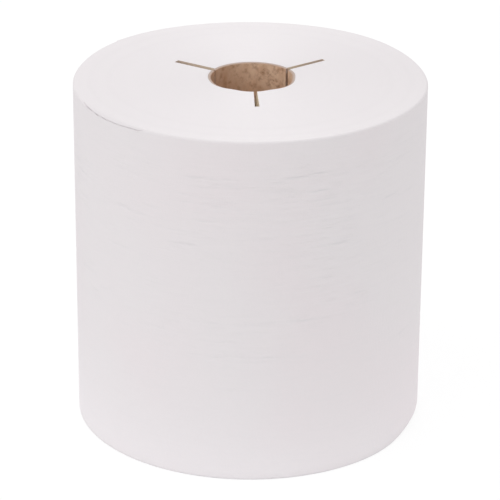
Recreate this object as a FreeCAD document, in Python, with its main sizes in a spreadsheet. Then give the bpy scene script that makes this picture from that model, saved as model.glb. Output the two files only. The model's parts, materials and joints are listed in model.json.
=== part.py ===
"""Hard-wound hand towel roll: a long paper web wound tightly on a cardboard core.

The roll stands on its plain end. The origin is at the centre of that end, on the
axis of the core, and +Z points up to the notched end. One of the straight radial
notches lies along -Y. Lengths are in millimetres and angles in degrees.
"""
import FreeCAD, Part
import math
import os
import Sketcher

# Driving dimensions: alias, value, what it is
DIMENSIONS = [
    ("roll_diameter", 201.0, "across the wound paper, through the end of the outermost turn"),
    ("web_width", 203.0, "width of the paper web, the same as the length of the core"),
    ("telescoping", 1.2, "how far the innermost turns and the core have slid up along the axis"),
    ("hub_land", 27.0, "level ring of turns round the core, which have slid up as one"),
    ("rim_land", 16.0, "level ring of turns inside the rounded rim"),
    ("rim_radius", 1.2, "rounding of the outer turns at the notched end"),
    ("foot_radius", 0.7, "rounding of the outer turns at the plain end"),
    ("rim_relief", 0.1, "the rounding passes this far outside the outermost turn, which keeps its edge"),
    ("sheet_thickness", 0.3, "one creped sheet, the step where the web ends on the turn below"),
    ("tail_azimuth", 138.0, "where the web ends, anticlockwise from +X"),
    ("core_outside", 50.0, "outside diameter of the cardboard core"),
    ("core_wall", 1.6, "wall of the core, several glued plies"),
    ("glue_line", 0.05, "film of glue between the core and the first turn"),
    ("notch_reach", 49.5, "from the axis to the blunt outer end of a notch"),
    ("notch_depth", 17.0, "depth of a notch below the end of the core"),
    ("notch_root_width", 2.2, "width of a notch where it enters the core"),
    ("notch_end_width", 3.2, "width of a notch at its outer end"),
    ("notch_count", 3, "notches, evenly spaced round the axis"),
    ("trim", 1.0, "how far a cut starts or runs past the surface that it goes through"),
]

# Places worked out from the dimensions
WOUND_BORE = "(dims.core_outside / 2 + dims.glue_line)"
CORE_BORE = "(dims.core_outside / 2 - dims.core_wall)"
CORE_END = "(dims.web_width + dims.telescoping)"
INNER_TURN = "((dims.roll_diameter - dims.sheet_thickness) / 2)"
RIM_FOOT = "((dims.roll_diameter + dims.sheet_thickness) / 2 + dims.rim_relief)"

# The least that any cut takes away, in cubic millimetres
SMALLEST_CUT = 1.0

UP = FreeCAD.Vector(0, 0, 1)


def make_sheet(doc):
    """Write the driving dimensions, one row each, with an alias and a note."""
    sheet = doc.addObject("Spreadsheet::Sheet", "dims")
    for row, (alias, value, note) in enumerate(DIMENSIONS, start=1):
        sheet.set(f"A{row}", alias)
        sheet.set(f"B{row}", str(value))
        sheet.set(f"C{row}", note)
        sheet.setAlias(f"B{row}", alias)
    doc.recompute()


def make_body(doc, name):
    """Start a sub-part; its label names the file that it is written to."""
    body = doc.addObject("PartDesign::Body", name)
    body.Label = name
    return body


def origin_feature(body, role):
    """Return a plane or an axis of the body's own origin."""
    return next(feature for feature in body.Origin.OriginFeatures if feature.Role == role)


def sketch_on(body, name, role, height="0", turn="0"):
    """Attach an empty sketch to an origin plane, lifted and turned about its normal."""
    sketch = body.newObject("Sketcher::SketchObject", name)
    sketch.AttachmentSupport = (origin_feature(body, role), [""])
    sketch.MapMode = "FlatFace"
    sketch.setExpression("AttachmentOffset.Base.z", f"({height}) * 1 mm")
    sketch.setExpression("AttachmentOffset.Rotation.Angle", f"({turn}) * 1 deg")
    return sketch


def value_of(sketch, expression):
    """Work out an expression with the dimensions as they are now."""
    return float(sketch.evalExpression(expression))


def point_at(sketch, across, along):
    """Return the point of the sketch that two expressions give."""
    return FreeCAD.Vector(value_of(sketch, across), value_of(sketch, along), 0)


def hold(sketch, kind, *geometry, at):
    """Add a constraint that carries a size, and bind the size to the sheet."""
    index = sketch.addConstraint(Sketcher.Constraint(kind, *geometry, value_of(sketch, at)))
    sketch.setExpression(f"Constraints[{index}]", at)


def hold_point(sketch, curve, point, corner):
    """Hold one point of a curve at its two distances from the sketch's origin."""
    across, along = corner
    hold(sketch, "DistanceX", -1, 1, curve, point, at=across)
    hold(sketch, "DistanceY", -1, 1, curve, point, at=along)


def join(sketch, curve, point, other, other_point):
    """Make an end of one curve meet an end or the centre of another."""
    sketch.addConstraint(Sketcher.Constraint("Coincident", curve, point, other, other_point))


def add_lines(sketch, corners):
    """Draw lines through the corners in order, each corner held in its place."""
    lines = []
    for start, end in zip(corners, corners[1:]):
        segment = Part.LineSegment(point_at(sketch, *start), point_at(sketch, *end))
        lines.append(sketch.addGeometry(segment, False))
        hold_point(sketch, lines[-1], 1, start)
    for line, following in zip(lines, lines[1:]):
        join(sketch, line, 2, following, 1)
    return lines


def add_circle(sketch, radius):
    """Draw a circle about the sketch's origin."""
    shape = Part.Circle(FreeCAD.Vector(0, 0, 0), UP, value_of(sketch, radius))
    circle = sketch.addGeometry(shape, False)
    join(sketch, circle, 3, -1, 1)
    hold(sketch, "Radius", circle, at=radius)


def add_arc(sketch, centre, radius, start, end):
    """Draw an arc from one angle to another and hold its radius."""
    circle = Part.Circle(point_at(sketch, *centre), UP, value_of(sketch, radius))
    arc = sketch.addGeometry(Part.ArcOfCircle(circle, math.radians(start), math.radians(end)), False)
    hold(sketch, "Radius", arc, at=radius)
    return arc


def add_outermost_turn(sketch):
    """Outline the last turn: two half circles, the second wider, and the cut edge of the web.

    The first half lies on the turn below. The second half is drawn about a centre half a
    sheet further out, so after one full turn the web has climbed by its own thickness.
    """
    first = add_arc(sketch, ("0", "0"), INNER_TURN, 0, 180)
    second = add_arc(sketch, ("dims.sheet_thickness / 2", "0"), "dims.roll_diameter / 2", 180, 360)
    web_end = Part.LineSegment(
        point_at(sketch, f"{INNER_TURN} + dims.sheet_thickness", "0"), point_at(sketch, INNER_TURN, "0"))
    tail = sketch.addGeometry(web_end, False)
    join(sketch, first, 3, -1, 1)
    join(sketch, first, 2, second, 1)
    join(sketch, second, 2, tail, 1)
    join(sketch, tail, 2, first, 1)
    for curve, point in ((first, 1), (first, 2), (second, 2), (second, 3)):
        sketch.addConstraint(Sketcher.Constraint("PointOnObject", curve, point, -1))


def wind_web(body):
    """Raise the wound paper as one block, a little long at both ends."""
    section = sketch_on(body, "wound_section", "XY_Plane", "-dims.trim", "dims.tail_azimuth")
    add_outermost_turn(section)
    add_circle(section, WOUND_BORE)
    web = body.newObject("PartDesign::Pad", "wound_web")
    web.Profile = section
    web.setExpression("Length", f"{CORE_END} + 2 * dims.trim")


def shape_end(body, name, level, far, outward, rounding):
    """Turn one end of the wound paper: rounded rim, level ring, slope and level ring at the core.

    level is the height of the outer ring, far a height past the paper, outward is 1 for
    the upper end and -1 for the lower one, and rounding is the radius of the rim.
    """
    rim_height = f"{level} - {outward} * {rounding}"
    face_edge = f"{RIM_FOOT} - {rounding}"
    core_height = f"{level} + dims.telescoping"
    past_side = f"{RIM_FOOT} + dims.trim"
    past_bore = f"{WOUND_BORE} - dims.trim"
    profile = sketch_on(body, f"{name}_profile", "XZ_Plane")
    lines = add_lines(profile, [
        (RIM_FOOT, rim_height),
        (past_side, rim_height),
        (past_side, far),
        (past_bore, far),
        (past_bore, core_height),
        (f"{WOUND_BORE} + dims.hub_land", core_height),
        (f"{face_edge} - dims.rim_land", level),
        (face_edge, level),
    ])
    hold_point(profile, lines[-1], 2, (face_edge, level))
    quarter = (0, 90) if outward > 0 else (270, 360)
    rim = add_arc(profile, (face_edge, rim_height), rounding, *quarter)
    side_end, face_end = (1, 2) if outward > 0 else (2, 1)
    join(profile, rim, side_end, lines[0], 1)
    join(profile, rim, face_end, lines[-1], 2)
    turned = body.newObject("PartDesign::Groove", name)
    turned.Profile = profile
    turned.ReferenceAxis = (profile, ["V_Axis"])


def cut_notches(body, end):
    """Cut the tapering notches down from the given height and repeat them round the axis."""
    inner = f"-({CORE_BORE} - dims.trim)"
    corners = [
        ("-dims.notch_root_width / 2", inner),
        ("dims.notch_root_width / 2", inner),
        ("dims.notch_end_width / 2", "-dims.notch_reach"),
        ("-dims.notch_end_width / 2", "-dims.notch_reach"),
    ]
    outline = sketch_on(body, "notch_outline", "XY_Plane", f"{end} + dims.trim")
    sides = add_lines(outline, corners + corners[:1])
    join(outline, sides[-1], 2, sides[0], 1)
    notch = body.newObject("PartDesign::Pocket", "notch")
    notch.Profile = outline
    notch.setExpression("Length", "dims.notch_depth + dims.trim")
    pattern = body.newObject("PartDesign::PolarPattern", "notches")
    pattern.Originals = [notch]
    pattern.Axis = (origin_feature(body, "Z_Axis"), [""])
    pattern.setExpression("Occurrences", "dims.notch_count")
    body.Tip = pattern


def make_paper_roll(doc):
    """The wound paper: spiral outside, end of the web, shaped ends and notches."""
    body = make_body(doc, "paper_roll")
    wind_web(body)
    shape_end(body, "upper_end", "dims.web_width", f"{CORE_END} + 2 * dims.trim", 1, "dims.rim_radius")
    shape_end(body, "lower_end", "0", "-2 * dims.trim", -1, "dims.foot_radius")
    cut_notches(body, CORE_END)
    return body


def make_core_tube(doc):
    """The cardboard core, as long as the web is wide, slid up with the turns around it."""
    body = make_body(doc, "core_tube")
    body.setExpression("Placement.Base.z", "dims.telescoping * 1 mm")
    section = sketch_on(body, "core_section", "XY_Plane")
    add_circle(section, "dims.core_outside / 2")
    add_circle(section, CORE_BORE)
    tube = body.newObject("PartDesign::Pad", "tube")
    tube.Profile = section
    tube.setExpression("Length", "dims.web_width")
    cut_notches(body, "dims.web_width")
    return body


def check_features(doc):
    """Stop if any object of the document has failed."""
    for item in doc.Objects:
        if "Invalid" in item.State or "Error" in item.State:
            raise RuntimeError(f"{item.Label} has failed")


def check_cuts(body):
    """Stop if a cut has taken nothing away from the sub-part."""
    for feature in body.Group:
        base = getattr(feature, "BaseFeature", None)
        if base and base.Shape.Volume - feature.Shape.Volume < SMALLEST_CUT:
            raise RuntimeError(f"{feature.Label} of {body.Label} cuts nothing")


def write_step(body):
    """Write one sub-part, which has to be a single valid solid, to its own file."""
    shape = body.Shape
    if shape.isNull() or not shape.isValid() or len(shape.Solids) != 1:
        raise RuntimeError(f"{body.Label} is not one valid solid")
    box = shape.optimalBoundingBox(False, False)
    print(f"{body.Label}: {box.XLength:.2f} x {box.YLength:.2f} x {box.ZLength:.2f} mm, "
          f"from z {box.ZMin:.2f}, {shape.Volume / 1000:.1f} cm3, {len(shape.Faces)} faces")
    shape.exportStep(os.path.join("parts", f"{body.Label}.step"))


def main():
    doc = FreeCAD.newDocument("hand_towel_roll")
    make_sheet(doc)
    bodies = [make_paper_roll(doc), make_core_tube(doc)]
    doc.recompute()
    check_features(doc)
    os.makedirs("parts", exist_ok=True)
    for body in bodies:
        check_cuts(body)
        write_step(body)


main()
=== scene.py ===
# %% [markdown]
# # A notched hand towel roll, dressed for its portrait
# The object is a long, thin web of white towel paper wound hard on a cardboard core. Its real
# sizes come from a measured model, which this script loads first and never moves. We then
# model finer skins of paper and board over it, give each one its own finish, and light it
# softly, because white paper on white shows only what gentle shading shows.

# %% Load the measured model
import json
import math
import random
import bmesh
import bpy
import numpy as np
from mathutils import Matrix, Vector, noise


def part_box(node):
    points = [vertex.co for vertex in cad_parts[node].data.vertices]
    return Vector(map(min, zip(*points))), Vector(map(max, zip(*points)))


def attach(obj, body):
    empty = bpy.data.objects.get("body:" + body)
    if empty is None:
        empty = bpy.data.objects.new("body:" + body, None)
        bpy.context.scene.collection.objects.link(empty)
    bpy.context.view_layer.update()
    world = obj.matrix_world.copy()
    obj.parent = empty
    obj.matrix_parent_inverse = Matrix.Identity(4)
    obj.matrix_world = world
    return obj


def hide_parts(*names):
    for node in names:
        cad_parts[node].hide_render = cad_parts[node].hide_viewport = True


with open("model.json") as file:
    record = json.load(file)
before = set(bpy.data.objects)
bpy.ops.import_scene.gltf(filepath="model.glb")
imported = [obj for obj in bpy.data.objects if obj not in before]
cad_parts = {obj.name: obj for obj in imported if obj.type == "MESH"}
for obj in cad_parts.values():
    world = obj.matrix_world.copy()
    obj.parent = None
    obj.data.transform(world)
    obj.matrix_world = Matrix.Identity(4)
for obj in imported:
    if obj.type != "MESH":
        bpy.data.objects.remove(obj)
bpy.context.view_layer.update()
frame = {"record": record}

# %% [markdown]
# ## Sizes
# Everything is in metres, and the roll stands at the origin with +Z up. What the measured
# model knows is read from it: the radius of the innermost part of the last turn, the width of
# the web, how far the core has slid up, and the radii of the core. The rest are small sizes
# that a paper converter would recognise, and each is written once.

# %% Sizes of the roll
MM = 0.001
SLACK = 0.001 * MM  # lengths that differ by less are the same
web_low, web_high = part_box("paper_roll")
core_low, core_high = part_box("core_tube")
bore_mount = next(mount for mount in frame["record"]["mounts"] if mount["name"] == "core_bore")

INNER_TURN = -web_low.x  # radius where the last turn begins
TELESCOPING = core_low.z  # the core and its turns have slid up this far
WEB_WIDTH = web_high.z - TELESCOPING
CORE_END = web_high.z
CORE_RADIUS = core_high.x
CORE_BORE = bore_mount["dims"]["r_mm"] * MM
GLUE_LINE = 0.05 * MM
SHEET = 0.3 * MM
RIM_RADIUS = 1.2 * MM
FOOT_RADIUS = 0.7 * MM
RIM_LAND = 16 * MM  # the outer turns, which haven't slid
HUB_LAND = 27 * MM  # the inner turns, which slid with the core
TAIL_AZIMUTH = math.radians(138)  # where the web ends, anticlockwise from +X
FRONT = math.radians(-90)  # the azimuth of -Y, towards the camera
REAR = math.radians(90)
NOTCH_DEPTH = 17 * MM
TRIM = 1.0 * MM  # how far a cutter reaches past what it cuts

print(f"roll radius {INNER_TURN / MM:.2f} mm, web {WEB_WIDTH / MM:.1f} mm, bore {CORE_BORE / MM:.2f} mm")

# %% [markdown]
# ## Small helpers for modelling
# An operator works on whatever is selected, so each helper begins from a clear selection. One
# draws a rectangular half section, which is what a lathe worker would draw, and another turns
# it once round the Z axis. Turning a section is the natural way to make a roll, because the
# mesh then runs round the axis just as the paper does.

# %% Start, edit and finish a piece
def clear_selection():
    """Leave edit mode and deselect every object."""
    if bpy.context.mode != "OBJECT":
        bpy.ops.object.mode_set(mode="OBJECT")
    bpy.ops.object.select_all(action="DESELECT")


def only(piece):
    """Select one piece and make it the active one."""
    clear_selection()
    piece.select_set(True)
    bpy.context.view_layer.objects.active = piece


def select_where(piece, test, kind="verts"):
    """In edit mode, select just the vertices, edges or faces that pass a test."""
    bpy.ops.mesh.select_all(action="DESELECT")
    mesh = bmesh.from_edit_mesh(piece.data)
    for element in getattr(mesh, kind):
        element.select_set(test(element))
    bmesh.update_edit_mesh(piece.data)


def near(value, target):
    """Say whether two lengths are the same."""
    return abs(value - target) < SLACK


# %% Draw a half section and turn it
def half_section(name, inner, outer, low, high):
    """Add a plane in the XZ plane, stretched from one radius and height to another."""
    clear_selection()
    middle = ((inner + outer) / 2, 0, (low + high) / 2)
    bpy.ops.mesh.primitive_plane_add(size=1, location=middle, rotation=(math.pi / 2, 0, 0))
    piece = bpy.context.object
    piece.name = name
    piece.scale = (outer - inner, high - low, 1)
    bpy.ops.object.transform_apply(location=True, rotation=True, scale=True)
    bpy.ops.object.mode_set(mode="EDIT")
    bpy.ops.mesh.select_all(action="SELECT")
    bpy.ops.mesh.delete(type="ONLY_FACE")
    return piece


def divide_edge(piece, test, cuts):
    """Cut the edges that pass a test into equal lengths."""
    bpy.ops.mesh.select_mode(type="EDGE")
    select_where(piece, test, "edges")
    bpy.ops.mesh.subdivide(number_cuts=cuts)
    bpy.ops.mesh.select_mode(type="VERT")


def spin_full_turn(piece, columns):
    """Turn the outline once round Z, close the seam and point the faces outwards."""
    bpy.ops.mesh.select_all(action="SELECT")
    bpy.ops.mesh.spin(steps=columns, angle=math.tau, center=(0, 0, 0), axis=(0, 0, 1))
    bpy.ops.mesh.select_all(action="SELECT")
    bpy.ops.mesh.remove_doubles(threshold=10 * SLACK)
    bpy.ops.mesh.normals_make_consistent(inside=False)
    bpy.ops.object.mode_set(mode="OBJECT")
    print(f"{piece.name}: {len(piece.data.vertices)} vertices, {len(piece.data.polygons)} faces")


# %% [markdown]
# ## The wound paper
# On the real roll this is one sheet about 240 metres long. Modelling the turns one by one
# would be hopeless, and nobody sees them: what shows is a hard block with a spiral outside.
# So the half section of the block is drawn, its two outer corners are rounded with a bevel,
# its long side is cut finely enough to hold wrinkles later, and it is turned on the axis.
# Subdivide makes at most 100 cuts at a time, so the side is cut twice, each part into parts.

# %% Turn the block of paper
COLUMNS = 200
SIDE_CUTS = 18  # made twice, so the side has 19 x 19 rows
UPPER_END_CUTS = 22
LOWER_END_CUTS = 14
RIM_STEPS = 12
FOOT_STEPS = 4


def at_radius(edge, radius):
    """Say whether an edge of the half section stands at one radius."""
    return all(near(v.co.x, radius) for v in edge.verts)


def at_height(edge, height):
    """Say whether an edge of the half section lies at one height."""
    return all(near(v.co.z, height) for v in edge.verts)


web = half_section("wound_web", CORE_RADIUS + GLUE_LINE, INNER_TURN, 0, WEB_WIDTH)
select_where(web, lambda vert: near(vert.co.x, INNER_TURN) and near(vert.co.z, WEB_WIDTH))
bpy.ops.mesh.bevel(offset=RIM_RADIUS, segments=RIM_STEPS, affect="VERTICES")
select_where(web, lambda vert: near(vert.co.x, INNER_TURN) and near(vert.co.z, 0))
bpy.ops.mesh.bevel(offset=FOOT_RADIUS, segments=FOOT_STEPS, affect="VERTICES")
for _ in range(2):
    divide_edge(web, lambda edge: at_radius(edge, INNER_TURN), SIDE_CUTS)
divide_edge(web, lambda edge: at_height(edge, WEB_WIDTH), UPPER_END_CUTS)
divide_edge(web, lambda edge: at_height(edge, 0), LOWER_END_CUTS)
spin_full_turn(web, COLUMNS)

# %% [markdown]
# ## Moving vertices by a rule
# Some forms are easier to state than to push about by hand: a spiral, a slope, a wrinkle.
# For these the mesh is read as one array, each vertex is described by its radius, its angle
# and its height, a rule changes these, and the array is written back.

# %% Read and write a mesh as radius, angle and height
def read_round(piece):
    """Return the vertices of a piece as radius, angle and height."""
    flat = np.empty(len(piece.data.vertices) * 3)
    piece.data.vertices.foreach_get("co", flat)
    x, y, z = flat.reshape(-1, 3).T
    return np.hypot(x, y), np.arctan2(y, x), z.copy()


def write_round(piece, radius, angle, height):
    """Put the vertices of a piece at new radii, angles and heights."""
    placed = np.stack([radius * np.cos(angle), radius * np.sin(angle), height], axis=1)
    piece.data.vertices.foreach_set("co", placed.ravel())
    piece.data.update()


def turn_after(angle, start):
    """How far round each angle lies after a start, from 0 to a full turn."""
    return np.mod(angle - start, math.tau)


def turn_from(angle, centre):
    """How far round each angle lies from a centre, from minus to plus half a turn."""
    return turn_after(angle, centre - math.pi) - math.pi


def smooth(value):
    """Ease from 0 to 1, level at both ends."""
    held = np.clip(value, 0, 1)
    return held * held * (3 - 2 * held)


def bump_at(angle, centre, spread):
    """A smooth bump round one azimuth."""
    return np.exp(-(turn_from(angle, centre) / spread) ** 2)


def noise_round(angle, height, round_scale, height_scale):
    """Noise at each vertex, which joins up round the roll."""
    places = zip(np.cos(angle) * round_scale, np.sin(angle) * round_scale, height * height_scale)
    return np.array([noise.noise(Vector(place)) for place in places])


web_radius, web_angle, web_height = read_round(web)
print("side, rim and ends hold", len(web_radius), "vertices")

# %% [markdown]
# ## The spiral outside and the end of the web
# The last turn starts level with the one below it and, one turn later, ends one sheet higher.
# That step is the free end of the paper, called the tail. Two columns of the mesh are brought
# together there, so that the step is a sharp edge and not a ramp. The tail also curls off the
# roll a little, as it does once the glue that held it lets go. First, though, all the columns
# are drawn together towards the front left, where the rim is ragged and the finest forms lie.

# %% Crowd the columns towards the front left
CROWDED_AZIMUTH = FRONT - math.radians(32)
CROWDING = 0.55

web_angle = web_angle - CROWDING * np.sin(turn_from(web_angle, CROWDED_AZIMUTH))
column_step = math.degrees(math.tau / COLUMNS)
print(f"columns {column_step * (1 - CROWDING):.1f} to {column_step * (1 + CROWDING):.1f} degrees apart")

# %% Wind the last turn
TAIL_EDGE = 0.03 * MM
TAIL_CURL = 0.315 * MM  # how far the tail curls off on average
TAIL_CURL_VARIES = 0.225 * MM
TAIL_CURL_LENGTH = 9 * MM
LAP_DEPTH = 6 * MM
COLUMN_SLACK = 1e-4  # in radians

past_tail = turn_after(web_angle, TAIL_AZIMUTH)
edge_angle = TAIL_EDGE / INNER_TURN
is_last_column = past_tail > past_tail.max() - COLUMN_SLACK
is_first_column = past_tail < past_tail.min() + COLUMN_SLACK
web_angle = np.where(is_last_column, TAIL_AZIMUTH - edge_angle, web_angle)
web_angle = np.where(is_first_column, TAIL_AZIMUTH + edge_angle, web_angle)

wound = turn_after(web_angle, TAIL_AZIMUTH)
climb = np.where(wound < math.pi, 0, SHEET / 2 * (1 + np.cos(wound)))
to_tail = (math.tau - wound) * INNER_TURN
full_curl = TAIL_CURL + TAIL_CURL_VARIES * noise_round(web_angle, web_height, 0, 45)
curl = full_curl * np.clip(1 - to_tail / TAIL_CURL_LENGTH, 0, 1) ** 2
in_last_turns = smooth(1 - (INNER_TURN - web_radius) / LAP_DEPTH)
lap = in_last_turns * (climb + curl)
print(f"the web ends {lap.max() / MM:.2f} mm above the turn below")

# %% [markdown]
# ## Wrinkles
# A web wound under tension puckers in short creases that run round the roll. Each one here is
# a narrow trough, long round the roll and narrow along it. The clearest ones are listed one by
# one, and the rest are scattered in groups by a seeded random source, so the roll is the same
# each time it is made. Noise then breaks each trough into dashes, as fibres would.

# %% Where the wrinkles lie
CLEAR_WRINKLES = (  # azimuth from the front, height, half length, depth
    (12, 181.5, 10, 0.42), (20, 183, 9, 0.30), (-19, 181, 9, 0.20), (-12, 181, 8, 0.20),
    (20, 172.5, 7, 0.30), (24, 163.5, 6, 0.26), (29, 159, 4, 0.28), (24, 140, 8, 0.24),
    (-23, 141, 9, 0.20), (22, 121, 7, 0.22), (6, 119.5, 3, 0.30), (33, 107, 12, 0.15),
    (-12, 96, 18, 0.18), (12, 97, 22, 0.20), (-31, 88, 14, 0.12), (-12, 85, 13, 0.12),
    (-14, 76, 12, 0.20), (3, 76, 14, 0.14), (-7, 56, 6, 0.14), (51, 178, 7, 0.22),
)
SCATTERED = 240
GROUPS = 26
GROUP_SPREAD = 13 * MM
GROUP_TURN_SPREAD = 0.16  # in radians
wrinkle_source = random.Random(41)


def round_from(centre):
    """How far round the roll each vertex lies from an azimuth, as a length."""
    return turn_from(web_angle, centre) * INNER_TURN


def wrinkle(centre, level, length, width, depth, slant):
    """Return the rise of one wrinkle at every vertex."""
    along = round_from(centre)
    across = (web_height - level - slant * along) / width
    return -depth * np.exp(-(along / length) ** 2 - across ** 2)


def clear_wrinkle(azimuth, height, half_length, depth):
    """A wrinkle from the list, with a little chance in its form."""
    width = MM * wrinkle_source.uniform(0.7, 1.0)
    slant = wrinkle_source.uniform(-0.03, 0.03)
    centre = FRONT + math.radians(azimuth)
    return wrinkle(centre, height * MM, half_length * MM, width, depth * MM, slant)


def small_wrinkle():
    """A short wrinkle anywhere on the roll, near enough to others to gather in groups."""
    group_source = random.Random(wrinkle_source.randrange(GROUPS))
    centre = group_source.uniform(0, math.tau) + wrinkle_source.gauss(0, GROUP_TURN_SPREAD)
    level = WEB_WIDTH * group_source.uniform(0.2, 0.93) + wrinkle_source.gauss(0, GROUP_SPREAD)
    length = MM * wrinkle_source.choice((4, 6, 9, 14))
    width = MM * wrinkle_source.uniform(0.7, 1.2)
    depth = MM * wrinkle_source.uniform(0.03, 0.18)
    return wrinkle(centre, level, length, width, depth, wrinkle_source.uniform(-0.08, 0.08))


# %% Press the wrinkles into the side
RIM_CLEARANCE = 3 * MM  # no wrinkle comes nearer to either end than this
RIM_CLEARANCE_EASE = 6 * MM
BROKEN_UP = 1.6  # how strongly noise cuts troughs into dashes

creases = sum(clear_wrinkle(*row) for row in CLEAR_WRINKLES)
creases = creases + sum(small_wrinkle() for _ in range(SCATTERED))
creases = creases * (1 + BROKEN_UP * noise_round(web_angle, web_height, 12, 320))
creases = np.minimum(creases, 0)
from_ends = np.minimum(web_height, WEB_WIDTH - web_height)
is_side = web_radius > INNER_TURN - 5 * SLACK
clear_of_ends = smooth((from_ends - RIM_CLEARANCE) / RIM_CLEARANCE_EASE)
crease_rise = np.where(is_side, creases * clear_of_ends, 0)
print(len(CLEAR_WRINKLES) + SCATTERED, "wrinkles, the deepest", round(crease_rise.min() / MM, 2), "mm")

# %% [markdown]
# ## Crumpled areas
# Round the groups of wrinkles the paper is also crumpled, too finely for any mesh. A weight at
# each vertex says how strongly, and the finish of the side reads it later as an attribute.

# %% Weigh how crumpled the paper is
CRUMPLED_AREAS = (  # azimuth, height, half length, half height, strength
    (20, 174, 28, 20, 0.7), (-14, 177, 28, 15, 0.6), (25, 138, 22, 20, 0.55), (-22, 141, 18, 8, 0.7),
    (22, 116, 20, 12, 0.45), (0, 95, 52, 8, 0.6), (-5, 76, 36, 7, 0.6), (34, 106, 18, 10, 0.6),
    (-45, 185, 22, 12, 0.5), (45, 180, 24, 16, 0.6), (-32, 110, 22, 22, 0.3), (5, 150, 44, 44, 0.4),
)
SCATTERED_AREAS = 16
AREA_HALF_SIZES = (30, 12)


def crumpled_area(azimuth, height, half_length, half_height, strength):
    """How strongly one area is crumpled at every vertex."""
    along = round_from(FRONT + math.radians(azimuth)) / (half_length * MM)
    across = (web_height - height * MM) / (half_height * MM)
    return strength * np.exp(-along ** 2 - across ** 2)


def small_crumpled_area():
    """One more area, on the part of the roll that the front doesn't show."""
    azimuth, height = wrinkle_source.uniform(75, 285), wrinkle_source.uniform(50, 190)
    return crumpled_area(azimuth, height, *AREA_HALF_SIZES, wrinkle_source.uniform(0.3, 0.8))


crumple = sum(crumpled_area(*row) for row in CRUMPLED_AREAS)
crumple = crumple + sum(small_crumpled_area() for _ in range(SCATTERED_AREAS))
print(f"{np.mean(crumple[is_side] > 0.25):.0%} of the side's vertices are clearly crumpled")

# %% [markdown]
# ## The loosened edge
# Along part of the upper rim the last sheet has come away from the roll. Its top edge stands
# off and sags lowest in the middle, and behind it a shallow hollow under the next turns leaves
# a thin dark line, with a small tear near its end. The twelve steps of the rim's bevel are
# enough to draw this: where the sheet is tight they follow the rounding, and where it is loose
# they go over its edge, down behind it, up and out under a lip, and in again to the face.

# %% Find the steps of the rim and where it is loose
LOOSE_FROM = FRONT - math.radians(75)
LOOSE_TO = FRONT - math.radians(38)
LOOSE_FROM_EASE = math.radians(12)  # it comes loose slowly on the left
LOOSE_TO_EASE = math.radians(2)  # and is held again at once at the tear

rim_height = web_height - (WEB_WIDTH - RIM_RADIUS)
rim_out = web_radius - (INNER_TURN - RIM_RADIUS)
on_rim = (rim_height > -SLACK) & (rim_out > -SLACK)
rim_step = np.rint(np.arctan2(rim_height, rim_out) / (math.pi / 2) * RIM_STEPS).astype(int)
rim_step = np.clip(rim_step, 0, RIM_STEPS)
before_end = -turn_from(web_angle, LOOSE_TO)
past_start = turn_from(web_angle, LOOSE_FROM)
looseness = smooth(past_start / LOOSE_FROM_EASE) * smooth(before_end / LOOSE_TO_EASE)
rim_looseness = np.where(on_rim, looseness, 0)
print(f"{np.count_nonzero(rim_looseness > 0.5)} vertices of the rim are loose")

# %% Open the last sheet along part of the rim
LOOSE_PROFILE = (  # inwards and down from the rim, side to face
    (-0.12, 2.20), (-0.20, 1.65), (-0.24, 1.15), (-0.18, 0.90), (0.00, 0.87), (0.06, 1.05), (0.10, 1.70),
    (0.42, 1.70), (0.42, 1.00), (0.24, 0.76), (0.42, 0.42), (0.74, 0.14), (1.45, 0.03),
)
SHEET_POINTS = 6  # the first points lie on the loose sheet
LIP_STEPS = 3  # the last steps ease from the gap back to the face
DROOP_AZIMUTH = FRONT - math.radians(54)  # the sheet hangs lowest here
DROOP_SPREAD = math.radians(13)
DROOP = 1.1 * MM
FLUTTER_DOWN = 0.34 * MM
FLUTTER_OUT = 0.22 * MM
TEAR_PLACE = math.radians(3)  # before the end of the loose part
TEAR_HALF_WIDTH = math.radians(1.5)
TEAR_DEPTH = 1.1 * MM


def noise_along(angle, scale, row):
    """Noise that changes only round the roll; each row is another pattern."""
    return np.array([noise.noise(Vector((scale * turn, 0, row))) for turn in angle])


is_sheet = rim_step <= SHEET_POINTS
is_sheet_edge = (rim_step >= 1) & (rim_step <= SHEET_POINTS - 1)
flutter = noise_along(web_angle, 22, row=3) + 0.9 * noise_along(web_angle, 75, row=9)
flutter = np.where(is_sheet, flutter, 0)
droop = DROOP * bump_at(web_angle, DROOP_AZIMUTH, DROOP_SPREAD)
tear = TEAR_DEPTH * np.clip(1 - np.abs(before_end - TEAR_PLACE) / TEAR_HALF_WIDTH, 0, 1)
profile_in, profile_down = np.array(LOOSE_PROFILE)[rim_step].T * MM
loose_in = profile_in - FLUTTER_OUT * flutter
loose_down = profile_down + FLUTTER_DOWN * flutter
loose_down = loose_down + droop * np.clip((RIM_STEPS - rim_step) / LIP_STEPS, 0, 1)
loose_down = loose_down + np.where(is_sheet_edge, tear, 0)
loose_radius = web_radius + rim_looseness * (INNER_TURN - loose_in - web_radius)
loose_height = web_height + rim_looseness * (WEB_WIDTH - loose_down - web_height)
print(f"the loose edge drops by up to {(rim_looseness * loose_down)[is_sheet_edge].max() / MM:.1f} mm")

# %% Let the sheet below the loose edge sag with it
SAG = 1.3 * MM
SAG_REACH = 9 * MM
SAG_BULGE = 0.2 * MM

below_rim = smooth(1 - (WEB_WIDTH - RIM_RADIUS - web_height) / SAG_REACH)
sag = np.where(on_rim | ~is_side, 0, looseness * below_rim)
loose_height = loose_height - (SAG + droop) * sag
loose_radius = loose_radius + SAG_BULGE * sag ** 2
print(f"the side sags by up to {((SAG + droop) * sag).max() / MM:.1f} mm just under the loose edge")

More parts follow.
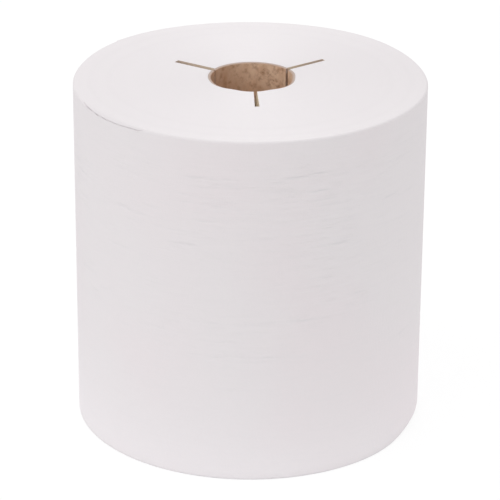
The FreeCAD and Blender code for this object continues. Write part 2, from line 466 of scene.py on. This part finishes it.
# %% [markdown]
# ## The slid turns, the squeezed core and the knocks
# The innermost turns have crept up the axis with the core, so both ends are very slightly
# conical: proud at the top, hollow below. Near the notched end the board is also squeezed out
# of round: flat between the notches, and a little pointed at two corners. The core uses the
# same rules later, so the board keeps to the paper at both ends. Between them the paper's bore
# runs straight, which the board's wall hides. Two knocks belong to the paper alone: the outer
# turns wave a little at the upper end, and the foot is bruised in and up at the right.

# %% Rules that paper and core share
SQUEEZE_DEPTH = 45 * MM
SQUEEZE_REACH = 24 * MM
CORNERS = (FRONT - math.radians(60), FRONT + math.radians(54))
CORNER_SPREAD = math.radians(15)
CORNER_OUT = 0.45 * MM
FLATS = (  # azimuth and depth
    (FRONT - math.radians(27), 1.0 * MM),
    (FRONT + math.radians(24), 1.0 * MM),
    (FRONT + math.radians(84), 0.6 * MM),
)
FLAT_SPREAD = math.radians(13)
HUB_SHIFT = 0.9 * MM  # the core leans over to +X at its upper end
HUB_SHIFT_REACH = 50 * MM


def squeeze(radius, angle, height):
    """How far the squeezed board and the turns by it are pushed out or in."""
    out = CORNER_OUT * sum(bump_at(angle, corner, CORNER_SPREAD) for corner in CORNERS)
    inwards = sum(depth * bump_at(angle, centre, FLAT_SPREAD) for centre, depth in FLATS)
    by_core = smooth(1 - (radius - CORE_RADIUS) / SQUEEZE_REACH)
    by_end = smooth(1 - (CORE_END - height) / SQUEEZE_DEPTH)
    return (out - inwards) * by_core * by_end


def lean(radius, angle, height):
    """How far each vertex goes outwards because the core leans over to +X."""
    by_core = smooth(1 - (radius - CORE_RADIUS) / HUB_SHIFT_REACH)
    return HUB_SHIFT * by_core * np.cos(angle) * height / CORE_END


# %% Rules for the paper alone
PROUD_PLACES = (REAR - math.radians(44), REAR + math.radians(44))
PROUD_SPREAD = math.radians(22)
PROUD_HEIGHT = 0.6 * MM
SUNK_PLACES = (REAR - math.radians(84), REAR + math.radians(84))
SUNK_SPREAD = math.radians(20)
SUNK_DEPTH = 0.7 * MM
WAVE_REACH_DOWN = 30 * MM
BRUISE_AZIMUTH = FRONT + math.radians(68)
BRUISE_SPREAD = math.radians(15)
BRUISE_REACH = 6 * MM
BRUISE_DEPTH = 1.3 * MM


def slide_up(radius):
    """How far the turns at a radius have crept up the axis."""
    slope_top = CORE_RADIUS + GLUE_LINE + HUB_LAND
    slope_foot = INNER_TURN - RIM_RADIUS - RIM_LAND
    return TELESCOPING * np.clip((slope_foot - radius) / (slope_foot - slope_top), 0, 1)


def rim_wave(radius, angle, height):
    """How far the outer turns stand proud behind and sink at the sides of the notched end."""
    proud = PROUD_HEIGHT * sum(bump_at(angle, place, PROUD_SPREAD) for place in PROUD_PLACES)
    sunk = SUNK_DEPTH * sum(bump_at(angle, place, SUNK_SPREAD) for place in SUNK_PLACES)
    near_rim = smooth(1 - (INNER_TURN - radius) / RIM_LAND)
    near_end = smooth(1 - (WEB_WIDTH - height) / WAVE_REACH_DOWN)
    return (proud - sunk) * near_rim * near_end


def bruise(radius, angle, height):
    """How far the foot is knocked in and up on the right."""
    near_foot = smooth(1 - height / BRUISE_REACH) * smooth(1 - (INNER_TURN - radius) / BRUISE_REACH)
    return BRUISE_DEPTH * near_foot * bump_at(angle, BRUISE_AZIMUTH, BRUISE_SPREAD)


# %% Shape the block of paper
knock = bruise(web_radius, web_angle, web_height)
final_height = loose_height + slide_up(web_radius) + rim_wave(web_radius, web_angle, web_height)
final_radius = loose_radius + lap + crease_rise + squeeze(web_radius, web_angle, final_height)
final_radius = final_radius + lean(web_radius, web_angle, final_height)
write_round(web, final_radius - knock, web_angle, final_height + knock)
print(f"wound web shaped, {final_height.min() / MM:.2f} to {final_height.max() / MM:.2f} mm high")

# %% Leave attributes for the finish
DEEP_CREASE = 0.7 * MM  # a wrinkle this deep gets the full painted shade
FOOT_SHADE_HEIGHT = 1.4 * MM
FOOT_SHADE = 0.8  # the foot gets this share of the painted shade, a painted contact shadow


def keep_on(piece, name, weights):
    """Store one number for each vertex of a piece, held between 0 and 1."""
    attribute = piece.data.attributes.new(name, "FLOAT", "POINT")
    attribute.data.foreach_set("value", np.clip(weights, 0, 1))
    print(f"{piece.name}: {name}, on average {np.clip(weights, 0, 1).mean():.3f}")


# Painted shade: wrinkles are darkened by their depth, and a thin grey band round the foot is a painted
# contact shadow.
painted_foot_shade = FOOT_SHADE * smooth(1 - web_height / FOOT_SHADE_HEIGHT) * (web_radius > INNER_TURN - FOOT_RADIUS)
keep_on(web, "crease", painted_foot_shade - crease_rise / DEEP_CREASE)
keep_on(web, "crumple", crumple)

# %% [markdown]
# ## Finishes from nodes
# Each finish is a small node graph on the Principled shader. One helper adds a node with its
# settings, and others do a single step: noise, a new range, arithmetic, a mix of two colours.
# Patterns read Object coordinates in metres, so a scale of 1000 means one feature each
# millimetre, and a bump's distance is its real height.

# %% Start a finish and add nodes
def new_finish(name, roughness):
    """Start a node material and return it with its tree and shader."""
    finish = bpy.data.materials.new(name)
    finish.use_nodes = True
    shader = finish.node_tree.nodes["Principled BSDF"]
    shader.inputs["Roughness"].default_value = roughness
    return finish, finish.node_tree, shader


def add_node(tree, kind, inputs=None, **settings):
    """Add a node, set its options and then its sockets."""
    node = tree.nodes.new(kind)
    for option, value in settings.items():
        setattr(node, option, value)
    for socket, value in (inputs or {}).items():
        node.inputs[socket].default_value = value
    return node


def own_place(tree):
    """Return the socket with the place on the object, in metres."""
    return add_node(tree, "ShaderNodeTexCoord").outputs["Object"]


def own_axis(tree, axis):
    """Return the socket with X, Y or Z on the object, in metres."""
    parts = add_node(tree, "ShaderNodeSeparateXYZ")
    tree.links.new(own_place(tree), parts.inputs["Vector"])
    return parts.outputs[axis]


def mesh_weight(tree, name):
    """Return the socket with an attribute of the mesh."""
    return add_node(tree, "ShaderNodeAttribute", attribute_name=name).outputs["Fac"]


# %% Patterns, ranges and arithmetic
def stretched_noise(tree, scale, detail=2.0, roughness=0.5):
    """Noise on Object coordinates, with its own scale along each axis in features per metre."""
    mapping = add_node(tree, "ShaderNodeMapping", {"Scale": scale})
    settings = {"Scale": 1.0, "Detail": detail, "Roughness": roughness}
    pattern = add_node(tree, "ShaderNodeTexNoise", settings)
    tree.links.new(own_place(tree), mapping.inputs["Vector"])
    tree.links.new(mapping.outputs["Vector"], pattern.inputs["Vector"])
    return pattern.outputs["Fac"]


def spread_out(tree, value, low, high, to_low=0.0, to_high=1.0):
    """Map part of a pattern's range to a new range, held at its ends."""
    ranged = add_node(tree, "ShaderNodeMapRange", {
        "From Min": low, "From Max": high, "To Min": to_low, "To Max": to_high})
    tree.links.new(value, ranged.inputs["Value"])
    return ranged.outputs["Result"]


def plug(tree, value, socket):
    """Link a socket to another, or write a plain value on it."""
    if isinstance(value, bpy.types.NodeSocket):
        tree.links.new(value, socket)
    else:
        socket.default_value = value


def calculate(tree, operation, first, second=0.0):
    """One step of arithmetic on sockets or plain numbers."""
    step = add_node(tree, "ShaderNodeMath", operation=operation)
    plug(tree, first, step.inputs[0])
    plug(tree, second, step.inputs[1])
    return step.outputs["Value"]


def multiply(tree, first, second):
    """The product of a socket and another socket or number."""
    return calculate(tree, "MULTIPLY", first, second)


# %% Colours and bumps
COLOUR_A, COLOUR_B, COLOUR_OUT = 6, 7, 2  # places of the colour sockets on a Mix node


def opaque(colour):
    """Add full alpha to a plain colour, and leave a socket as it is."""
    return colour if isinstance(colour, bpy.types.NodeSocket) else (*colour, 1)


def mix_colour(tree, factor, first, second):
    """Mix two colours, each a socket or a plain colour, by a factor socket."""
    mix = add_node(tree, "ShaderNodeMix", data_type="RGBA")
    tree.links.new(factor, mix.inputs["Factor"])
    plug(tree, opaque(first), mix.inputs[COLOUR_A])
    plug(tree, opaque(second), mix.inputs[COLOUR_B])
    return mix.outputs[COLOUR_OUT]


def add_bump(tree, shader, layers):
    """Chain bumps, each a height socket with its height in metres, into the shader's normal."""
    normal = None
    for height, distance in layers:
        bump = add_node(tree, "ShaderNodeBump", {"Distance": distance})
        tree.links.new(height, bump.inputs["Height"])
        if normal:
            tree.links.new(normal, bump.inputs["Normal"])
        normal = bump.outputs["Normal"]
    tree.links.new(normal, shader.inputs["Normal"])


def complete(finish, shader, colour, bumps):
    """Link the colour and the bumps to the shader and say what the finish holds."""
    tree = finish.node_tree
    tree.links.new(colour, shader.inputs["Base Color"])
    add_bump(tree, shader, bumps)
    print(f"{finish.name}: {len(tree.nodes)} nodes")


# %% [markdown]
# ## Creped paper on the side
# Towel paper is creped: scraped off its drying drum in fine ridges that lie across the web,
# so on the standing roll they run up and down, about two to a millimetre. Over them lie faint
# streaks round the roll from winding. Both come from noise that is stretched by its scale
# along each axis. So do the small puckers, which are bumps with painted shade in them, and the
# pale ridges between them, which are painted highlights; both show only where the mesh says
# that the paper is crumpled. The grey dashes in the wrinkles and round the foot are painted
# shade. The white leans slightly to pink and shifts a little from place to place.

# %% Plain creped paper
PAPER_WHITE = (0.872, 0.832, 0.846)
PAPER_PINK = (0.878, 0.820, 0.838)
PAPER_SHADE = (0.842, 0.806, 0.822)

side_paper, tree, shader = new_finish("creped_paper_side", 0.92)
pink_cloud = spread_out(tree, stretched_noise(tree, (14, 14, 11), detail=1.0), 0.45, 0.7)
streaks = stretched_noise(tree, (45, 45, 420), detail=3.0)
crepe = stretched_noise(tree, (1900, 1900, 160), detail=2.0)
fibres = stretched_noise(tree, (900, 900, 900), detail=3.0, roughness=0.65)
colour = mix_colour(tree, pink_cloud, PAPER_WHITE, PAPER_PINK)
colour = mix_colour(tree, spread_out(tree, streaks, 0.5, 0.75, 0.0, 0.3), colour, PAPER_SHADE)
colour = mix_colour(tree, spread_out(tree, fibres, 0.35, 0.75, 0.0, 0.35), colour, PAPER_SHADE)
tree.links.new(spread_out(tree, fibres, 0.3, 0.7, 0.86, 0.98), shader.inputs["Roughness"])

# %% Painted shade in wrinkles and puckers, painted highlights on ridges
# Painted shade for the wrinkles, the puckers and the foot, and a painted highlight for the ridges
PAPER_PAINTED_SHADE = (0.792, 0.764, 0.782)
PAPER_PAINTED_HIGHLIGHT = (0.900, 0.866, 0.880)

dashes = spread_out(tree, stretched_noise(tree, (150, 150, 1300), detail=2.0), 0.42, 0.60, 0.3, 1.5)
pucker_noise = stretched_noise(tree, (65, 65, 720), detail=3.0, roughness=0.6)
crumple_weight = mesh_weight(tree, "crumple")
puckers = multiply(tree, spread_out(tree, pucker_noise, 0.55, 0.68), crumple_weight)
ridges = multiply(tree, spread_out(tree, pucker_noise, 0.46, 0.36), crumple_weight)
# Painted shade, broken into dashes, where the mesh marks wrinkles and the foot; then painted shade in the
# puckers and painted highlights on the ridges between them
painted_shade_tint = multiply(tree, mesh_weight(tree, "crease"), dashes)
colour = mix_colour(tree, painted_shade_tint, colour, PAPER_PAINTED_SHADE)
colour = mix_colour(tree, multiply(tree, puckers, 0.18), colour, PAPER_PAINTED_SHADE)
colour = mix_colour(tree, multiply(tree, ridges, 0.28), colour, PAPER_PAINTED_HIGHLIGHT)
bumps = ((puckers, -0.13 * MM), (streaks, 0.05 * MM), (fibres, 0.06 * MM), (crepe, 0.06 * MM))
complete(side_paper, shader, colour, bumps)

# %% [markdown]
# ## Cut edges on the ends
# Each end shows the slit edges of hundreds of turns, one fine ring beside the next. The noise
# here depends only on the distance from the axis, so it draws rings: very fine ones for the
# sheets, broader ones where the web wandered as it was wound. The fine rings also act on the
# light as brushed metal does, which gives the soft bright fan across the top.

# %% Ends of the web
EDGE_WHITE = (0.874, 0.833, 0.848)
EDGE_SHADE = (0.828, 0.788, 0.803)


def ring_noise(tree, rings_per_metre, detail):
    """Noise that depends only on the distance from the axis, so that it draws rings."""
    flatten = add_node(tree, "ShaderNodeVectorMath", operation="MULTIPLY")
    flatten.inputs[1].default_value = (1, 1, 0)
    from_axis = add_node(tree, "ShaderNodeVectorMath", operation="LENGTH")
    rings = add_node(tree, "ShaderNodeTexNoise", {"Scale": rings_per_metre, "Detail": detail},
                     noise_dimensions="1D")
    tree.links.new(own_place(tree), flatten.inputs[0])
    tree.links.new(flatten.outputs["Vector"], from_axis.inputs[0])
    tree.links.new(from_axis.outputs["Value"], rings.inputs["W"])
    return rings.outputs["Fac"]


end_paper, tree, shader = new_finish("slit_paper_ends", 0.55)
shader.inputs["Anisotropic"].default_value = 0.8
sheets = ring_noise(tree, 3200, 2.0)
bands = ring_noise(tree, 170, 2.0)
lint = stretched_noise(tree, (520, 520, 520), detail=3.0, roughness=0.6)
colour = mix_colour(tree, spread_out(tree, sheets, 0.35, 0.8, 0.0, 0.45), EDGE_WHITE, EDGE_SHADE)
colour = mix_colour(tree, spread_out(tree, bands, 0.5, 0.8, 0.0, 0.15), colour, EDGE_SHADE)
tree.links.new(spread_out(tree, lint, 0.3, 0.7, 0.5, 0.62), shader.inputs["Roughness"])
complete(end_paper, shader, colour, ((bands, 0.03 * MM), (lint, 0.05 * MM), (sheets, 0.08 * MM)))

# %% [markdown]
# ## Notch walls and board
# The notches are cut with a hot blade straight through board and paper, which leaves their
# walls tan, and a little darker towards the rear. The core is brown kraft board. It is mottled
# at two scales, clouds of a few millimetres and small dark flecks, and its left half is given
# painted shade, which shows on the wall of the bore. Its plies are wound as a helix, so one
# soft seam climbs the bore. The seam is found with a little arithmetic: height over the lead,
# less the turn, and only the fraction counts. The cut end of the board is grey outside and
# brown inside, so its colour follows an attribute of the mesh that runs through the wall.

# %% Walls of the notches in the paper
SINGED_TAN = (0.82, 0.69, 0.53)
SINGED_PALE = (0.90, 0.82, 0.69)
REAR_DARK = (0.56, 0.42, 0.36)
REAR_DARK_FROM = 8 * MM  # along Y, from the axis to the rear
REAR_DARK_TO = 28 * MM
REAR_DARK_SHARE = 0.6

singed_paper, tree, shader = new_finish("singed_notch_wall", 0.95)
char = stretched_noise(tree, (420, 420, 700), detail=3.0, roughness=0.6)
# the walls are mixed towards a darker brown-grey towards the rear
darker_to_rear = spread_out(tree, own_axis(tree, "Y"), REAR_DARK_FROM, REAR_DARK_TO, 0.0, REAR_DARK_SHARE)
colour = mix_colour(tree, spread_out(tree, char, 0.38, 0.68), SINGED_TAN, SINGED_PALE)
colour = mix_colour(tree, darker_to_rear, colour, REAR_DARK)
complete(singed_paper, shader, colour, ((char, 0.15 * MM),))

# %% Board of the core
KRAFT = (0.690, 0.455, 0.300)
# The dark kraft serves the flecks and the seam, and also the painted shade on the left
KRAFT_DARK_AND_SHADE = (0.330, 0.160, 0.085)
KRAFT_PALE = (0.840, 0.620, 0.450)
# The left half of the core gets painted shade: full up to the first X below, none from the second
LEFT_SHADE_FULL_UP_TO = -21 * MM  # along X, left of the axis
LEFT_SHADE_GONE_FROM = 2 * MM
LEFT_SHADE_SHARE = 0.55
PLY_LEAD = 115 * MM
SEAM_HALF_WIDTH = 4.0 * MM
SEAM_TURN = 0.955


def seam_line(tree):
    """A helical line on the bore, 1 on the seam and 0 away from it."""
    azimuth = calculate(tree, "ARCTAN2", own_axis(tree, "Y"), own_axis(tree, "X"))
    turn = calculate(tree, "DIVIDE", azimuth, math.tau)
    climbed = calculate(tree, "DIVIDE", own_axis(tree, "Z"), PLY_LEAD)
    phase = calculate(tree, "ADD", calculate(tree, "SUBTRACT", climbed, turn), SEAM_TURN)
    phase = calculate(tree, "FRACT", phase)
    from_seam = calculate(tree, "ABSOLUTE", calculate(tree, "SUBTRACT", phase, 0.5))
    return spread_out(tree, from_seam, 0, SEAM_HALF_WIDTH / PLY_LEAD, 1.0, 0.0)


core_board, tree, shader = new_finish("kraft_core_board", 0.85)
clouds = stretched_noise(tree, (170, 170, 130), detail=3.0, roughness=0.6)
flecks = stretched_noise(tree, (300, 300, 240), detail=4.0, roughness=0.65)
scuffs = spread_out(tree, stretched_noise(tree, (420, 420, 420), detail=3.0, roughness=0.6), 0.46, 0.62)
seam = multiply(tree, seam_line(tree), scuffs)
# painted shade on the left half of the core, where the wall of the bore lies in shade
painted_left_shade = spread_out(tree, own_axis(tree, "X"), LEFT_SHADE_FULL_UP_TO, LEFT_SHADE_GONE_FROM, LEFT_SHADE_SHARE, 0.0)
colour = mix_colour(tree, spread_out(tree, clouds, 0.35, 0.7), KRAFT_PALE, KRAFT)
colour = mix_colour(tree, painted_left_shade, colour, KRAFT_DARK_AND_SHADE)
colour = mix_colour(tree, spread_out(tree, flecks, 0.50, 0.72, 0.0, 0.65), colour, KRAFT_DARK_AND_SHADE)
colour = mix_colour(tree, multiply(tree, seam, 0.8), colour, KRAFT_DARK_AND_SHADE)
complete(core_board, shader, colour, ((seam, -0.2 * MM), (clouds, 0.15 * MM), (flecks, 0.08 * MM)))

# %% Cut end of the board
CUT_OUTSIDE = (0.600, 0.520, 0.480)
CUT_INSIDE = (0.470, 0.320, 0.240)

cut_board, tree, shader = new_finish("cut_core_edge", 0.9)
plies = ring_noise(tree, 2400, 1.0)
fuzz = stretched_noise(tree, (1400, 1400, 1400), detail=2.0)
colour = mix_colour(tree, mesh_weight(tree, "through_wall"), CUT_INSIDE, CUT_OUTSIDE)
colour = mix_colour(tree, spread_out(tree, plies, 0.4, 0.65, 0.0, 0.3), colour, CUT_INSIDE)
complete(cut_board, shader, colour, ((fuzz, 0.08 * MM),))

# %% [markdown]
# ## The core
# The core is a plain tube, so again a half section is drawn and turned. It needs rows along
# its length, because its upper end is squeezed by the same rule as the paper round it. The
# board ends a little below the paper, more so at the front and on its inner plies.

# %% Turn the core
CORE_COLUMNS = 180
CORE_ROW_CUTS = 70
WALL_CUTS = 3

core = half_section("kraft_core", CORE_BORE, CORE_RADIUS, TELESCOPING, CORE_END)
for radius in (CORE_BORE, CORE_RADIUS):
    divide_edge(core, lambda edge: at_radius(edge, radius), CORE_ROW_CUTS)
divide_edge(core, lambda edge: at_height(edge, CORE_END), WALL_CUTS)
spin_full_turn(core, CORE_COLUMNS)

# %% Shape the core
WAVER = 0.12 * MM
RECESS = 0.14 * MM  # of the board's end everywhere
RECESS_FRONT = 0.336 * MM  # and this much more at the front
RECESS_FRONT_SPREAD = math.radians(70)
RECESS_INSIDE = 0.28 * MM  # and at the bore
RECESS_WAVER = 0.14 * MM

core_radius, core_angle, core_height = read_round(core)
through_wall = (core_radius - CORE_BORE) / (CORE_RADIUS - CORE_BORE)
keep_on(core, "through_wall", through_wall)
waver = noise_round(core_angle, core_height, 1.3, 30)
pushed_out = squeeze(CORE_RADIUS, core_angle, core_height) + lean(CORE_RADIUS, core_angle, core_height)
recess = RECESS + RECESS_WAVER * waver + RECESS_INSIDE * (1 - through_wall) ** 2
recess = recess + RECESS_FRONT * bump_at(core_angle, FRONT, RECESS_FRONT_SPREAD)
is_end = core_height > CORE_END - SLACK
core_height = core_height - np.where(is_end, recess, 0)
write_round(core, core_radius + pushed_out + WAVER * waver, core_angle, core_height)
print(f"the board's end lies up to {recess[is_end].max() / MM:.2f} mm below the paper")

# %% [markdown]
# ## Cutting the notches
# A notch is cut by taking a wedge away with a Boolean. The wedge is a cube that is stretched
# to length, divided, widened at its outer end and roughened a little, since a blade tears
# fibres. The front one also leans over, so light falls on one of its walls. A wedge's material
# goes over to the faces that it cuts, so the walls get their finish by themselves. The core is
# cut by narrower wedges, because its board springs back and slips aside after the blade.

# %% Make the wedges
# Azimuth from the front, offset from the axis, reach, width at root and end, lean, and then the
# width and the shift of the slot in the board.
NOTCHES = (
    (-0.9, 0.9, 49.5, 1.8, 2.7, 0.20, 1.8, 0.0),
    (124.1, -2.2, 50.1, 3.2, 2.8, 0.0, 2.3, -0.5),
    (-126.1, 3.0, 49.6, 3.7, 3.7, 0.0, 0.8, 0.4),
)
NOTCHES_BACK = 0.6 * MM  # the three meet a little behind the axis
TORN_FIBRES = 0.09 * MM
WEDGE_CUTS = 15


def make_wedge(azimuth, offset, reach, root_width, end_width, lean_over):
    """Add a tapering wedge along -Y, roughen it and put it in its place."""
    clear_selection()
    inner = CORE_BORE - 4 * TRIM
    length = reach - inner
    depth = NOTCH_DEPTH + TRIM
    middle = (0, -(inner + reach) / 2, CORE_END - NOTCH_DEPTH + depth / 2)
    bpy.ops.mesh.primitive_cube_add(size=1, location=middle)
    wedge = bpy.context.object
    wedge.scale = (root_width, length, depth)
    bpy.ops.object.transform_apply(location=True, rotation=True, scale=True)
    bpy.ops.object.mode_set(mode="EDIT")
    bpy.ops.mesh.select_all(action="SELECT")
    bpy.ops.mesh.subdivide(number_cuts=WEDGE_CUTS)
    bpy.ops.object.mode_set(mode="OBJECT")
    for vert in wedge.data.vertices:
        outwards = (-vert.co.y - inner) / length
        vert.co.x *= 1 + outwards * (end_width / root_width - 1)
        vert.co.x += offset - lean_over * (CORE_END - vert.co.z)
        vert.co += TORN_FIBRES * noise.noise_vector(vert.co * 600)
    wedge.rotation_euler.z = math.radians(azimuth)
    wedge.location = (HUB_SHIFT, NOTCHES_BACK, 0)
    bpy.ops.object.transform_apply(location=True, rotation=True, scale=False)
    return wedge


def make_cutter(wall_finish, in_board):
    """Join three wedges into one cutter with the finish of the walls that it leaves."""
    wedges = []
    for azimuth, offset, reach, root_width, end_width, lean_over, board_width, board_shift in NOTCHES:
        if in_board:
            offset = offset + board_shift
            root_width = end_width = board_width
        lengths = [length * MM for length in (offset, reach, root_width, end_width)]
        wedges.append(make_wedge(azimuth, *lengths, lean_over))
    only(wedges[0])
    for wedge in wedges:
        wedge.select_set(True)
    bpy.ops.object.join()
    bpy.context.object.data.materials.append(wall_finish)
    return bpy.context.object


# %% Cut paper and core
LEVEL_ENOUGH = 0.6  # a face of an end points this much up or down
SMOOTH_UP_TO = math.radians(40)


def cut_with(cutter, piece):
    """Take the cutter away from a piece; the cut faces get the cutter's finish."""
    only(piece)
    cut = piece.modifiers.new("notches", "BOOLEAN")
    cut.operation = "DIFFERENCE"
    cut.solver = "EXACT"
    cut.material_mode = "TRANSFER"
    cut.object = cutter
    bpy.ops.object.modifier_apply(modifier=cut.name)
    bpy.data.objects.remove(cutter)


def finish_ends(piece, end_finish):
    """Give the level faces at both ends their own finish."""
    if end_finish.name not in piece.data.materials:
        piece.data.materials.append(end_finish)
    index = piece.data.materials.find(end_finish.name)
    for face in piece.data.polygons:
        if face.material_index == 0 and abs(face.normal.z) > LEVEL_ENOUGH:
            face.material_index = index


web.data.materials.append(side_paper)
cut_with(make_cutter(singed_paper, in_board=False), web)
finish_ends(web, end_paper)
core.data.materials.append(core_board)
cut_with(make_cutter(cut_board, in_board=True), core)
finish_ends(core, cut_board)

for piece in (web, core):
    only(piece)
    bpy.ops.object.shade_smooth_by_angle(angle=SMOOTH_UP_TO)
    finishes = [finish.name for finish in piece.data.materials]
    print(f"{piece.name}: {len(piece.data.polygons)} faces, finishes {finishes}")

# %% [markdown]
# ## Fastening the pieces to the frame
# Each new piece stands for one measured node and rides on the one body that the roll has.

# %% Tie the pieces to the measured model
for piece, node, slot in ((web, "paper_roll", "wound_paper"), (core, "core_tube", "core_board")):
    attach(piece, "root")
    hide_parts(node)
    print(piece.name, "stands for", node)

# %% [markdown]
# ## The floor
# The roll stands on a plain white floor. A camera ray sees the floor with most of its white
# as a fixed glow and the rest as real light, so it stays white and still takes a soft shadow.
# All other rays see white paint that is also lit from below round the roll, as a light table
# is, which brightens the lower part of the paper. Right beside the foot this light fades out,
# so the edge on the floor stays a little darker.

# %% Lay the floor
FLOOR_SIZE = 12.0
FLOOR_GAP = 0.05 * MM  # the floor lies this far below the foot
FLOOR_PAINT = (0.90, 0.90, 0.90)

clear_selection()
bpy.ops.mesh.primitive_plane_add(size=FLOOR_SIZE, location=(0, 0, -FLOOR_GAP))
floor = bpy.context.object
floor.name = "studio_floor"
bpy.ops.object.transform_apply(location=True, rotation=True, scale=True)
floor_finish, tree, shader = new_finish("studio_floor_paint", 1.0)
shader.inputs["Base Color"].default_value = (*FLOOR_PAINT, 1)
shader.inputs["Specular IOR Level"].default_value = 0.0
floor.data.materials.append(floor_finish)
print(f"floor laid, {FLOOR_SIZE:.0f} m wide")

# %% Light it from below, round the roll
LIGHT_TABLE = 0.30
LIGHT_TABLE_TINT = (0.93, 0.955, 1.0)
LIGHT_TABLE_FULL = 80 * MM  # from the axis; from here on it grows weaker
LIGHT_TABLE_REACH = 240 * MM
CONTACT_SHADE = 4 * MM

from_axis = add_node(tree, "ShaderNodeVectorMath", operation="LENGTH")
tree.links.new(own_place(tree), from_axis.inputs[0])
distance = from_axis.outputs["Value"]
table_glow = spread_out(tree, distance, LIGHT_TABLE_FULL, LIGHT_TABLE_REACH, LIGHT_TABLE, 0.0)
clear_of_roll = spread_out(tree, distance, INNER_TURN, INNER_TURN + CONTACT_SHADE)
table_glow = multiply(tree, table_glow, clear_of_roll)
shader.inputs["Emission Color"].default_value = (*LIGHT_TABLE_TINT, 1)
tree.links.new(table_glow, shader.inputs["Emission Strength"])
print(f"light table reaches {LIGHT_TABLE_REACH / MM:.0f} mm from the axis")

# %% Make it glow for the camera
GLOW = 0.86
GLOW_PAINT = (0.17, 0.17, 0.17)


def seen_directly(tree):
    """1 for camera, glossy and transmission rays, and 0 for all others."""
    rays = add_node(tree, "ShaderNodeLightPath")
    straight = calculate(tree, "MAXIMUM", rays.outputs["Is Camera Ray"], rays.outputs["Is Glossy Ray"])
    return calculate(tree, "MAXIMUM", straight, rays.outputs["Is Transmission Ray"])


def choose_by_ray(tree, for_others, for_camera, output):
    """Show one shader to the rays that see it directly and another to all others."""
    choice = add_node(tree, "ShaderNodeMixShader")
    tree.links.new(seen_directly(tree), choice.inputs["Fac"])
    tree.links.new(for_others, choice.inputs[1])
    tree.links.new(for_camera, choice.inputs[2])
    tree.links.new(choice.outputs["Shader"], tree.nodes[output].inputs["Surface"])


paint = add_node(tree, "ShaderNodeBsdfDiffuse", {"Color": (*GLOW_PAINT, 1)})
glow = add_node(tree, "ShaderNodeEmission", {"Color": (1, 1, 1, 1), "Strength": GLOW})
both = add_node(tree, "ShaderNodeAddShader")
tree.links.new(paint.outputs["BSDF"], both.inputs[0])
tree.links.new(glow.outputs["Emission"], both.inputs[1])
choose_by_ray(tree, shader.outputs["BSDF"], both.outputs["Shader"], "Material Output")
print(f"{floor_finish.name}: {len(tree.nodes)} nodes")

# %% [markdown]
# ## Light
# White paper needs light from everywhere, with a little more from above and from the left, or
# it goes grey or burns out. The world gives the even part, and seen directly it is pure white.
# One broad lamp overhead lifts the top, one on the left shapes the side, one behind draws the
# soft fan over the slit edges, and a weak one on the right lights the far edge. A plain white
# surface facing up renders at about its written colour.

# %% Set the world
SKY_STRENGTH = 0.76

world = bpy.data.worlds.new("studio_air")
bpy.context.scene.world = world
world.use_nodes = True
tree = world.node_tree
sky = tree.nodes["Background"]
sky.inputs["Color"].default_value = (1, 1, 1, 1)
sky.inputs["Strength"].default_value = SKY_STRENGTH
white = add_node(tree, "ShaderNodeBackground", {"Color": (1, 1, 1, 1), "Strength": 1.0})
choose_by_ray(tree, sky.outputs["Background"], white.outputs["Background"], "World Output")
print(f"{world.name}: strength {SKY_STRENGTH}")


# %% Hang the lamps
def add_softbox(name, place, aim, size, power):
    """Hang a square lamp and turn it towards a point."""
    lamp = bpy.data.lights.new(name, "AREA")
    lamp.size = size
    lamp.energy = power
    holder = bpy.data.objects.new(name, lamp)
    holder.location = place
    holder.rotation_euler = (Vector(aim) - Vector(place)).to_track_quat("-Z", "Y").to_euler()
    bpy.context.collection.objects.link(holder)
    print(f"{name}: {power} W, {size} m wide")


add_softbox("overhead_softbox", place=(-0.6, -0.5, 2.0), aim=(0, 0, 0.15), size=1.0, power=6.2)
add_softbox("left_softbox", place=(-2.0, -0.9, 1.0), aim=(0, 0, 0.1), size=1.2, power=2.1)
add_softbox("back_softbox", place=(0, 1.6, 1.2), aim=(0, 0, 0.2), size=0.6, power=2.9)
add_softbox("right_softbox", place=(2.0, 0.7, 0.5), aim=(0, 0, 0.1), size=1.0, power=1.1)

# %% [markdown]
# ## Camera
# The photograph was taken from in front and above with a long lens, which is why the sides of
# the roll draw together so little towards its foot. The viewpoint was worked out from the
# roll's outline: an elevation, a distance, a small aim offset and a very small tilt.

# %% Place the camera
ELEVATION = math.radians(23.42)
VIEW_TURN = math.radians(-3.3)  # the front notch stands a little to the right
DISTANCE = 1572.5 * MM
AIM_RIGHT = 0.4 * MM
AIM_UP = -3.9 * MM
TILT = math.radians(0.41)
FOCAL_PIXELS = 2708.6
PICTURE_PIXELS = 500

back = Vector((0, -math.cos(ELEVATION), math.sin(ELEVATION)))
level_right = Vector((1, 0, 0))
level_up = back.cross(level_right)
right = math.cos(TILT) * level_right + math.sin(TILT) * level_up
up = -math.sin(TILT) * level_right + math.cos(TILT) * level_up
turned = Matrix.Rotation(VIEW_TURN, 3, "Z")
station = Vector((0, 0, WEB_WIDTH / 2)) + back * DISTANCE + right * AIM_RIGHT + up * AIM_UP

lens = bpy.data.cameras.new("portrait_lens")
lens.sensor_width = 36.0
lens.lens = FOCAL_PIXELS * lens.sensor_width / PICTURE_PIXELS
camera = bpy.data.objects.new("portrait_camera", lens)
axes = Matrix((turned @ right, turned @ up, turned @ back)).transposed()
camera.matrix_world = Matrix.Translation(turned @ station) @ axes.to_4x4()
bpy.context.collection.objects.link(camera)
bpy.context.scene.camera = camera
bpy.context.scene.view_settings.view_transform = "Standard"
print(f"lens {lens.lens:.1f} mm, camera at {tuple(round(v, 3) for v in camera.matrix_world.translation)}")
